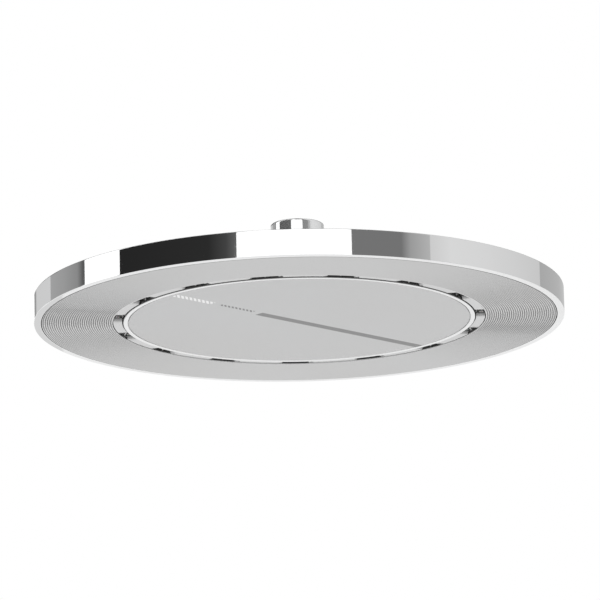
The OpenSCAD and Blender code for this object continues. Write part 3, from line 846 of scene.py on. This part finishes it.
def make_studio():
    """White world, a pale floor well below, and the cards that the chrome reflects."""
    scene = bpy.context.scene
    scene.view_settings.view_transform = "Standard"
    world = bpy.data.worlds.new("studio")
    scene.world = world
    world.use_nodes = True
    background = world.node_tree.nodes["Background"]
    background.inputs["Color"].default_value = (1, 1, 1, 1)
    background.inputs["Strength"].default_value = 1.0

    bm = bmesh.new()
    bmesh.ops.create_grid(bm, x_segments=8, y_segments=8, size=FLOOR_SIZE)
    mesh = bpy.data.meshes.new("floor")
    bm.to_mesh(mesh)
    bm.free()
    floor = bpy.data.objects.new("floor", mesh)
    scene.collection.objects.link(floor)
    floor.location.z = FLOOR_Z
    s = Shader("floor_paper")
    s.set(Base_Color=s.mix(s.remap(s.noise(3, 3), 0.0, 1.0), grey(0.88), grey(0.9)), Roughness=0.9)
    floor.data.materials.append(s.material)

    top, horizon, rear = 62, -4, 7
    # name, first and last angle, lowest and highest elevation, the strength along the card, distance
    cards = [
        ("card_rear_left", -180, -177, rear, top, [(0, 0.5), (1, 0.5)]),
        ("card_slit", -177, -167.5, rear, top, [(0, 1.2), (1, 1.2)]),
        ("card_slit_edge", -167.5, -160, rear, top, [(0, 0.22), (1, 0.4)]),
        ("card_edge_left", -160, -135.4, rear, top, [(0, 0.62), (1, 0.65)]),
        ("card_grey_left", -135.4, -104.6, horizon, top,
         [(0, 0.38), (0.45, 0.34), (0.82, 0.27), (0.95, 0.11)]),
        ("card_white_left", -104.6, -82.4, horizon, top, [(0, 1.3), (1, 1.3)]),
        ("card_black", -82.4, -25.9, horizon, top, [(0, 0.02), (0.78, 0.026), (0.92, 0.06), (1, 0.125)]),
        ("card_white_front", -25.9, 22.9, horizon, top, [(0, 1.3), (1, 1.3)]),
        ("card_grey_right", 22.9, 58.4, horizon, top, [(0, 0.187), (0.62, 0.187), (0.74, 0.36), (1, 0.49)]),
        ("card_light_right", 58.4, 128.3, horizon, top, [(0, 0.67), (0.15, 0.76), (0.45, 0.73), (1, 0.63)]),
        ("card_edge_right", 128.3, 180, rear, top, [(0, 0.43), (0.5, 0.49), (1, 0.62)]),
        ("card_top", -20, 51, 50, 165, [(0, 0.01), (1, 0.01)], 8.0),
        ("card_low_front", -75, 75, -58, horizon, [(0, 0.2), (1, 0.2)]),
        ("card_far_low", 184, 215, -20, -10, [(0, 0.7), (1, 0.7)], 4.0),
    ]
    for card in cards:
        make_card(*card)


# ---- Build ----

make_camera()
make_studio()

slot_materials = {
    "chrome": chrome_material("chrome_plate"),
    "satin_disc": disc_material(),
    "satin_ring": ridge_material(),
    "brass": brass_material(),
    "acetal": plastic_material("acetal_white", grey(0.74, 0.01), grey(0.8, 0.02), 0.28, 0.42),
    "grey_plastic": plastic_material("moulded_grey", grey(0.24), grey(0.28), 0.4, 0.6),
    "black_rubber": rubber_material("seal_rubber", grey(0.012), grey(0.03)),
    "silicone": silicone_material(),
    "steel": steel_material(),
}
for part in frame["record"]["subparts"]:
    data = nodes[part["node"]].data
    data.materials.clear()
    data.materials.append(slot_materials[part["material_slot"]])

# The lip and bezel seams get painted shade in their plating; mouth is its tone at the face.
lip_seam = ("LESS_THAN", LIP_R + 0.04 * MM)
bezel_seam = ("GREATER_THAN", BEZEL_R - 0.06 * MM)
made = [
    (chrome_material("shell_plate", seam=lip_seam, mouth=0.04), [make_shell()]),
    (chrome_material("bezel_plate", seam=bezel_seam, mouth=0.22), [make_bezel()]),
    (pocket_ring_material(), [make_jet_ring()]),
    (tooth_material(), [make_teeth()]),
    (chrome_material("inlet_plate", metallic=0.85), [make_stem(), make_thread(), make_nut()]),
    (slot_materials["satin_disc"], [make_disc()]),
    (slot_materials["satin_ring"], [make_face_ring()]),
]
for material, pieces in made:
    for piece in pieces:
        piece.data.materials.append(material)
